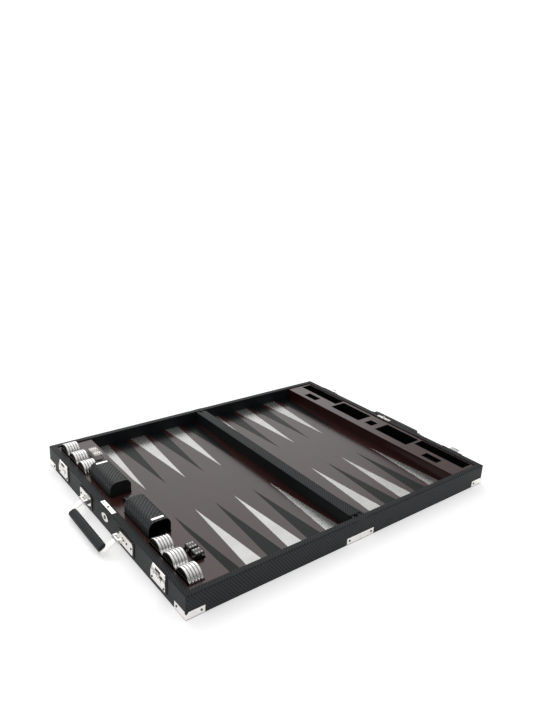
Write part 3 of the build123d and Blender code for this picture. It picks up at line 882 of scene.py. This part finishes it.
@dataclass
class HingeStrip:
    """Flexible leather strip that bridges the two bar boards."""

    half_width: float = 11.5
    half_length: float = 247.6
    bottom: float = 39.5
    top: float = 40.5
    bend: float = 1.6
    bend_steps: int = 16
    round_mm: float = 0.45

    def build(self) -> Object:
        """Shape the strip, cut into thin slices across the fold."""
        bm = bmesh.new()
        box_into(
            bm,
            (-self.half_width * MM, -self.half_length * MM, self.bottom * MM),
            (self.half_width * MM, self.half_length * MM, self.top * MM),
        )
        steps = self.bend_steps
        slice_at(bm, 0, [(-self.bend + 2 * self.bend * i / steps) * MM for i in range(steps + 1)])
        top_edges = [
            e
            for e in bm.edges
            if all(v.co.z > (self.top - CLOSE_MM) * MM for v in e.verts)
            and len({round(v.co.x, 6) for v in e.verts}) == 1
            and abs(e.verts[0].co.x) > (self.half_width - CLOSE_MM) * MM
        ]
        round_edges(bm, top_edges, self.round_mm * MM, 3)
        strip = publish(bm, "bar_hinge_leather", [CASE_LEATHER], None, ["hinge_strip"])
        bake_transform(strip)
        return strip


@dataclass
class Hardware:
    """Plated fittings, pads and hinges of the whole case."""

    round_mm: float = 0.25
    pad_round: float = 0.6
    screw_round: float = 0.2
    small_round: float = 0.15
    hasp_round: float = 0.2
    plate_lift: float = 0.1

    def build(self) -> None:
        """Round the fittings' edges and dress them; the hinge leaves and pins are only dressed."""
        for side in Side:
            body = side.body
            word = side.word
            SoftenedPart(f"{word}_corner_guards", body, NICKEL, self.round_mm).build()
            # The pads are near black as painted shadow beside the fittings.
            SoftenedPart(f"{word}_hardware_pads", body, PAD_SHADOW_LEATHER, self.pad_round).build()
            SoftenedPart(f"{word}_handle_brackets", body, NICKEL, self.round_mm).build()
            SoftenedPart(f"{word}_screws", body, SCREW_STEEL, self.screw_round, 1).build()
            SoftenedPart(f"{word}_handle_frame", f"{word}_handle", NICKEL, self.round_mm).build()
            dress_node(f"{word}_hinge_leaves", BLACK_STEEL)
        for node, side in (
            ("left_latch_plates", Side.LEFT),
            ("lock_escutcheon", Side.LEFT),
            ("right_hasp_bases", Side.RIGHT),
        ):
            SoftenedPart(node, side.body, NICKEL, self.round_mm).build()
        for node, side in (("left_strike_plate", Side.LEFT), ("right_pin_plate", Side.RIGHT)):
            lift = self.plate_lift
            SoftenedPart(node, side.body, NICKEL, self.round_mm, lift_mm=lift).build()
        SoftenedPart("lock_plug", "lock_plug", SCREW_STEEL, self.small_round, 1).build()
        for end in End:
            slide, hasp = f"{end.word}_latch_slide", f"{end.word}_hasp"
            SoftenedPart(slide, slide, NICKEL, self.small_round, 1).build()
            SoftenedPart(hasp, hasp, NICKEL, self.hasp_round).build()
        dress_node("hinge_pins", BLACK_STEEL)


@dataclass
class HandleGrip:
    """Leather-wrapped grip, slightly fuller in the middle, with a sewn seam."""

    side: Side
    pivot_x: float = 358.5
    pivot_z: float = 23.5
    reach: float = 25.5
    half_length: float = 61.8
    half_width: float = 7.6
    half_height: float = 5.6
    rounding: float = 4.9
    crown: float = 0.4
    rings: int = 24
    end_round: float = 0.8
    seam_step: float = 4.0
    seam_inset: float = 3.0
    seam_drop: float = 1.5
    thread: float = 0.42
    stitch_stretch: float = 3.2

    def place(self) -> Matrix:
        """Matrix from the straight-out handle to where it hangs."""
        s = self.side.value
        turn = Matrix.Rotation(s * math.radians(self.side.droop_deg), 4, "Y")
        return Matrix.Translation((s * self.pivot_x * MM, 0, self.pivot_z * MM)) @ turn

    def build(self) -> None:
        """Build the roll and its seam."""
        self.roll()
        self.seam()

    def roll(self) -> Object:
        """Shape the padded roll."""
        s = self.side.value
        x = s * self.reach
        bm = bmesh.new()
        box_into(
            bm,
            ((x - self.half_width) * MM, -self.half_length * MM, -self.half_height * MM),
            ((x + self.half_width) * MM, self.half_length * MM, self.half_height * MM),
        )
        long_edges = [e for e in bm.edges if abs(e.verts[0].co.y - e.verts[1].co.y) > 50 * MM]
        round_edges(bm, long_edges, self.rounding * MM, 6)
        step = 2 * self.half_length / self.rings
        slice_at(bm, 1, [(i * step - self.half_length) * MM for i in range(1, self.rings)])
        centre = Vector((x * MM, 0, 0))
        for vertex in bm.verts:
            share = abs(vertex.co.y) / (self.half_length * MM)
            swell = 1.0 + self.crown / self.half_width * (1.0 - share**4)
            out = vertex.co - centre
            vertex.co.x = centre.x + out.x * swell
            vertex.co.z = centre.z + out.z * swell
        tip = (self.half_length - CLOSE_MM) * MM
        ends = [e for e in sharp_edges(bm, 60.0) if all(abs(v.co.y) > tip for v in e.verts)]
        round_edges(bm, ends, self.end_round * MM, 3)
        bmesh.ops.transform(bm, matrix=self.place(), verts=bm.verts)
        word = self.side.word
        replaced = [f"{word}_handle_grip"]
        return publish(bm, f"{word}_grip_leather", [GRIP_LEATHER], f"{word}_handle", replaced)

    def seam(self) -> Object:
        """Sew a row of short stitches along the inner side of the roll."""
        s = self.side.value
        x = s * (self.reach - self.half_width - self.crown * 0.8)
        bm = bmesh.new()
        turn = Matrix.Rotation(math.radians(90), 4, "X")
        lie = turn @ Matrix.Diagonal((1, 1, self.stitch_stretch, 1))
        count = int(2 * (self.half_length - self.seam_inset) / self.seam_step)
        for index in range(count + 1):
            y = -self.half_length + self.seam_inset + index * self.seam_step
            matrix = Matrix.Translation((x * MM, y * MM, -self.seam_drop * MM)) @ lie
            bmesh.ops.create_icosphere(bm, subdivisions=1, radius=self.thread * MM, matrix=matrix)
        bmesh.ops.transform(bm, matrix=self.place(), verts=bm.verts)
        word = self.side.word
        return publish(bm, f"{word}_grip_stitches", [BLACK_LACQUER], f"{word}_handle")


# ------------------------------------------------------------- the game pieces


@dataclass
class CheckerRow:
    """Five turned checkers with polished rims and lacquered faces, the grooves between them painted
    black as shade.
    """

    end: End
    row: str
    rim_share: float = 0.84
    # Width of the bright rim band; inside it the lacquered face and the groove bottom between
    # checkers are black, the groove as painted shade.
    shade_and_lacquer_inset: float = 0.9
    steps: int = 64
    count: int = 5
    loose_gap: float = 0.1
    dish_mm: float = 0.5
    groove_shade_mm: float = 0.3

    def build(self) -> Object:
        """Turn one profile and repeat it along the row."""
        node = f"{self.end.word}_{self.row}_checkers"
        low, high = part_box(node)
        radius = (high[2] - low[2]) / 2
        centre_y = (high[1] + low[1]) / 2
        centre_z = (high[2] + low[2]) / 2
        thick = (high[0] - low[0] - (self.count - 1) * self.loose_gap * MM) / self.count
        bm = bmesh.new()
        for index in range(self.count):
            x0 = low[0] + index * (thick + self.loose_gap * MM)
            self.turn(bm, Vector((x0, centre_y, centre_z)), radius, thick)
        # Black inside this radius: the lacquered face, plus the bottom of the groove between
        # neighbouring checkers painted black as shade.
        lacquer_and_shade_radius = radius - self.shade_and_lacquer_inset * MM
        for face in bm.faces:
            c = face.calc_center_median()
            reach = math.hypot(c.y - centre_y, c.z - centre_z)
            face.material_index = 1 if reach < lacquer_and_shade_radius else 0
        bmesh.ops.recalc_face_normals(bm, faces=bm.faces)
        finishes = [CHECKER_RIM, BLACK_LACQUER]
        return publish(bm, f"{node}_turned", finishes, f"{self.end.word}_{self.row}_row", [node])

    def turn(self, bm: BMesh, start: Vector, radius: float, thick: float) -> None:
        """Spin the checker's profile about its own axis.

        Args:
            bm: Mesh to add to.
            start: Centre of the face with the lowest X.
            radius: Outer radius in metres.
            thick: Thickness in metres.
        """
        r = radius
        face_r = r * self.rim_share
        dish = self.dish_mm * MM
        ring = self.groove_shade_mm * MM
        half = [
            (0.0, dish),
            (face_r * 0.32, dish),
            (face_r * 0.36, dish - ring),
            (face_r * 0.42, dish),
            (face_r - 0.5 * MM, dish),
            (face_r, dish - 0.15 * MM),
            (face_r + 0.3 * MM, 0.1 * MM),
            (r - 1.6 * MM, 0.0),
            (r - 1.0 * MM, 0.25 * MM),
            (r - 0.5 * MM, 0.7 * MM),
            (r - 0.15 * MM, 1.4 * MM),
            (r, thick * 0.45),
        ]
        profile = half + [(a, thick - b) for a, b in reversed(half)]
        verts = [bm.verts.new(start + Vector((b, a, 0.0))) for a, b in profile]
        edges = [bm.edges.new(pair) for pair in zip(verts, verts[1:])]
        bmesh.ops.spin(
            bm,
            geom=verts + edges,
            cent=start,
            axis=(1, 0, 0),
            angle=FULL_TURN,
            steps=self.steps,
            use_merge=True,
        )
        bmesh.ops.remove_doubles(bm, verts=bm.verts, dist=MERGE_DIST)


@dataclass
class DicePair:
    """Two dice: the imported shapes, polished, with paint poured into every pip."""

    node: str
    resin: Finish
    paint: Finish
    size: float = 17.0
    spread: float = 4.5
    pip_radius: float = 1.6
    pip_segments: int = 20
    fill_rise: float = 0.04
    fill_dip: float = 0.25
    fill_inset: float = 0.45

    def build(self) -> None:
        """Dress the dice and fill the pips."""
        dress_node(self.node, self.resin)
        low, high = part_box(self.node)
        half = self.size / 2 * MM
        bm = bmesh.new()
        x = (low[0] + high[0]) / 2
        z = (low[2] + high[2]) / 2
        for y in (low[1] + half, high[1] - half):
            self.paint_die(bm, Vector((x, y, z)))
        publish(bm, f"{self.node}_pips", [self.paint], self.node)

    def paint_die(self, bm: BMesh, centre: Vector) -> None:
        """Fill the pips of one die.

        Args:
            bm: Mesh to add to.
            centre: Centre of the die.
        """
        one = ((0, 0),)
        two = ((-1, -1), (1, 1))
        four = two + ((-1, 1), (1, -1))
        faces = (
            ((0, 0, 1), (0, 1, 0), four + ((-1, 0), (1, 0))),
            ((0, 0, -1), (1, 0, 0), one),
            ((0, -1, 0), (1, 0, 0), two),
            ((0, 1, 0), (1, 0, 0), four + one),
            ((-1, 0, 0), (0, 1, 0), one + two),
            ((1, 0, 0), (0, 1, 0), four),
        )
        for normal, across, spots in faces:
            out = Vector(normal)
            side = Vector(across)
            up = out.cross(side)
            for u, v in spots:
                flat = (side * u + up * v) * self.spread * MM
                self.paint_pip(bm, centre + out * self.size / 2 * MM + flat, out)

    def paint_pip(self, bm: BMesh, place: Vector, out: Vector) -> None:
        """Add one lens of paint that fills a pip.

        Args:
            bm: Mesh to add to.
            place: Centre of the pip in the die's face.
            out: Direction out of the die.
        """
        turn = out.to_track_quat("Z", "Y").to_matrix().to_4x4()
        radius = self.pip_radius * MM
        rise = self.fill_rise * MM
        matrix = Matrix.Translation(place) @ turn
        rim = bmesh.ops.create_circle(
            bm, cap_ends=True, segments=self.pip_segments, radius=radius, matrix=matrix
        )["verts"]
        bmesh.ops.translate(bm, verts=rim, vec=out * rise)
        cap = [f for f in rim[0].link_faces if len(f.verts) == len(rim)]
        bmesh.ops.inset_region(bm, faces=cap, thickness=radius * self.fill_inset)
        inner = {v for f in cap for v in f.verts}
        bmesh.ops.translate(bm, verts=list(inner), vec=-out * self.fill_dip * MM)


@dataclass
class DiceCup:
    """Ribbed leather cup with a closed end cap and a small plain plate."""

    end: End
    wall: float = 2.6
    corner: float = 12.6
    cap_corner: float = 13.0
    corner_steps: int = 10
    mouth_round: float = 0.9
    floor_depth: float = 2.5
    lined_lip: float = 1.2
    cap_margin: float = 2.0
    cap_dish: float = 0.5
    plate: tuple[float, float] = (22.0, 5.0)
    plate_low: float = -0.6
    plate_high: float = 0.3
    plate_corner: float = 1.2
    plate_round: float = 0.2
    plate_setback: float = 9.0

    def build(self) -> None:
        """Build the body, the cap and the plate."""
        self.shell()
        self.cap()
        self.blank_plate()

    def section_box(self, node: str) -> tuple[Vector, Vector]:
        """Lowest and highest corner of a CAD node."""
        low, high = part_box(node)
        return Vector(low), Vector(high)

    def long_edges(self, bm: BMesh) -> list[BMEdge]:
        """Edges that run along the cup."""

        def runs_along(edge: BMEdge) -> bool:
            """Whether an edge keeps its X and Z."""
            way = edge.verts[0].co - edge.verts[1].co
            return abs(way.x) < MERGE_DIST and abs(way.z) < MERGE_DIST

        return [e for e in bm.edges if runs_along(e)]

    def shell(self) -> Object:
        """Hollow body with a rounded mouth."""
        node = f"{self.end.word}_cup_body"
        low, high = self.section_box(node)
        outward = self.end.value
        bm = bmesh.new()
        box_into(bm, low, high)
        round_edges(bm, self.long_edges(bm), self.corner * MM, self.corner_steps)
        bm.normal_update()
        mouth = [f for f in bm.faces if f.normal.y * outward > PARALLEL]
        bmesh.ops.inset_region(bm, faces=mouth, thickness=self.wall * MM, use_even_offset=True)
        depth = (high.y - low.y) - self.floor_depth * MM
        sink(bm, lambda face: face in mouth, (0, -outward * depth, 0))
        bm.normal_update()
        end_y = high.y if outward > 0 else low.y
        near_end = CLOSE_MM * MM
        lip_edges = [
            e for e in sharp_edges(bm, 50.0) if all(abs(v.co.y - end_y) < near_end for v in e.verts)
        ]
        round_edges(bm, lip_edges, self.mouth_round * MM, 3)
        bm.normal_update()
        middle = (low + high) / 2
        for face in bm.faces:
            c = face.calc_center_median()
            inward = Vector((middle.x - c.x, 0.0, middle.z - c.z))
            across = abs(face.normal.y) > PARALLEL
            inside = not across and face.normal.dot(inward) > 0.0
            floor = across and abs(c.y - end_y) > 10 * MM
            lip = abs(c.y - end_y) < self.lined_lip * MM
            face.material_index = 1 if inside or floor or lip else 0
        word = self.end.word
        finishes = [CUP_LEATHER, POCKET_FLOCK]
        return publish(bm, f"{word}_cup_leather", finishes, f"{word}_cup", [node])

    def cap(self) -> Object:
        """Closed end cap with softened edges."""
        node = f"{self.end.word}_cup_base"
        low, high = self.section_box(node)
        bm = bmesh.new()
        box_into(bm, low, high)
        round_edges(bm, self.long_edges(bm), self.cap_corner * MM, self.corner_steps)
        bm.normal_update()
        outward = [f for f in bm.faces if f.normal.y * -self.end.value > PARALLEL]
        bmesh.ops.inset_region(
            bm,
            faces=outward,
            thickness=self.cap_margin * MM,
            depth=-self.cap_dish * MM,
            use_even_offset=True,
        )
        round_edges(bm, sharp_edges(bm, 50.0), 0.5 * MM, 2)
        return publish(bm, f"{self.end.word}_cup_cap", [CAP_RUBBER], f"{self.end.word}_cup", [node])

    def blank_plate(self) -> Object:
        """Small plain plate on top, near the mouth."""
        low, high = self.section_box(f"{self.end.word}_cup_body")
        length, width = self.plate
        x = (low.x + high.x) / 2
        end_y = high.y if self.end is End.FAR else low.y
        y = end_y - self.end.value * self.plate_setback * MM
        z = high.z
        bm = bmesh.new()
        box_into(
            bm,
            (x - length / 2 * MM, y - width / 2 * MM, z + self.plate_low * MM),
            (x + length / 2 * MM, y + width / 2 * MM, z + self.plate_high * MM),
        )
        upright = [e for e in bm.edges if abs(e.verts[0].co.z - e.verts[1].co.z) > 0.3 * MM]
        round_edges(bm, upright, self.plate_corner * MM, 4)
        bm.normal_update()
        top = [e for e in sharp_edges(bm, 60.0) if all(v.co.z > z for v in e.verts)]
        round_edges(bm, top, self.plate_round * MM, 2)
        return publish(bm, f"{self.end.word}_cup_plate", [NICKEL], f"{self.end.word}_cup")


@dataclass
class DoublingCube:
    """Plain cube with a sunk square on every face."""

    node: str = "doubling_cube"
    round_mm: float = 0.2

    def build(self) -> Object:
        """Round the cube's edges and dress it."""
        return SoftenedPart(self.node, self.node, CUBE_RESIN, self.round_mm).build()


# ------------------------------------------------------------ camera and light


@dataclass
class Studio:
    """Camera, seamless paper and soft lights."""

    camera_mm: tuple[float, float, float] = (-727.33, -899.84, 659.39)
    yaw_deg: float = 38.36
    pitch_deg: float = 19.29
    roll_deg: float = 2.94
    lens: float = 32.71
    sky_bright: float = 0.95
    sky_dim: float = 0.26
    sky_start: float = 0.3
    sky_end: float = 0.98
    sky_towards: tuple[float, float, float] = (0.12, 0.25, 0.96)
    sun_towards: tuple[float, float, float] = (0.2, 0.8, 0.55)
    sun_angle_deg: float = 64.0
    sun_power: float = 0.8
    paper_radius_m: float = 12.0
    paper_drop_mm: float = 0.3

    def camera(self) -> Object:
        """Place the camera.

        Returns:
            The camera object.
        """
        yaw, pitch, roll = (math.radians(v) for v in (self.yaw_deg, self.pitch_deg, self.roll_deg))
        level = math.cos(pitch)
        ahead = Vector((math.sin(yaw) * level, math.cos(yaw) * level, -math.sin(pitch)))
        right = ahead.cross(Vector((0, 0, 1))).normalized()
        up = right.cross(ahead)
        turned_right = math.cos(roll) * right + math.sin(roll) * up
        turned_up = -math.sin(roll) * right + math.cos(roll) * up
        data = bpy.data.cameras.new("studio_camera")
        data.lens = self.lens
        data.sensor_width = 36.0
        data.clip_start = 0.01
        data.clip_end = 100.0
        camera = bpy.data.objects.new("studio_camera", data)
        matrix = Matrix((turned_right, turned_up, -ahead)).transposed().to_4x4()
        matrix.translation = Vector(self.camera_mm) * MM
        camera.matrix_world = matrix
        bpy.context.scene.collection.objects.link(camera)
        bpy.context.scene.camera = camera
        return camera

    def floor(self) -> Object:
        """Lay seamless paper under the object."""
        bm = bmesh.new()
        matrix = Matrix.Translation((0, 0, -self.paper_drop_mm * MM))
        bmesh.ops.create_circle(
            bm, cap_ends=True, segments=64, radius=self.paper_radius_m, matrix=matrix
        )
        mesh = bpy.data.meshes.new("studio_paper")
        bm.to_mesh(mesh)
        bm.free()
        mesh.materials.append(PAPER.material())
        paper = bpy.data.objects.new("studio_paper", mesh)
        bpy.context.scene.collection.objects.link(paper)
        return paper

    def sun(self) -> Object:
        """Hang one very broad light high up behind the object.

        Returns:
            The light object.
        """
        data = bpy.data.lights.new("overhead_softbox", "SUN")
        data.angle = math.radians(self.sun_angle_deg)
        data.energy = self.sun_power
        lamp = bpy.data.objects.new("overhead_softbox", data)
        lamp.rotation_mode = "QUATERNION"
        lamp.rotation_quaternion = (-Vector(self.sun_towards)).to_track_quat("-Z", "Y")
        bpy.context.scene.collection.objects.link(lamp)
        return lamp

    def sky(self) -> World:
        """Make a studio whose white back wall is brighter than its front.

        Returns:
            The world.
        """
        world = bpy.data.worlds.new("studio_sky")
        world.use_nodes = True
        tree = world.node_tree
        way = add_node(tree, "ShaderNodeTexCoord").outputs["Generated"]
        unit = tuple(Vector(self.sky_towards).normalized())
        settings = {"operation": "DOT_PRODUCT", 1: unit}
        share = add_node(tree, "ShaderNodeVectorMath", settings, {0: way}).outputs["Value"]
        dim_to_bright = (self.sky_dim, self.sky_bright)
        glow = spread_between(tree, share, (self.sky_start, self.sky_end), dim_to_bright)
        seen = add_node(tree, "ShaderNodeLightPath").outputs["Is Camera Ray"]
        strength = add_node(tree, "ShaderNodeMath", {"operation": "MAXIMUM"}, {0: glow, 1: seen})
        tree.links.new(strength.outputs[0], tree.nodes["Background"].inputs["Strength"])
        tree.nodes["Background"].inputs["Color"].default_value = (1, 1, 1, 1)
        bpy.context.scene.world = world
        return world

    def build(self) -> None:
        """Set the sky, the light and the paper up."""
        bpy.context.scene.view_settings.view_transform = "Standard"
        self.sky()
        self.floor()
        self.sun()


def main() -> None:
    """Build the studio, the case, its fittings and the game pieces in order."""
    logging.basicConfig(level=logging.INFO, format="%(name)s: %(message)s")
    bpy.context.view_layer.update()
    studio = Studio()
    studio.camera()
    studio.build()
    for side in Side:
        CaseShell(side).build()
        HandleGrip(side).build()
    HingeStrip().build()
    Hardware().build()
    for end in End:
        for row in ("inner", "middle", "outer"):
            CheckerRow(end, row).build()
        DiceCup(end).build()
    DicePair("white_dice", IVORY_PLASTIC, PIP_BLACK).build()
    DicePair("black_dice", BLACK_LACQUER, PIP_WHITE).build()
    DoublingCube().build()


if __name__ == "__main__":
    main()
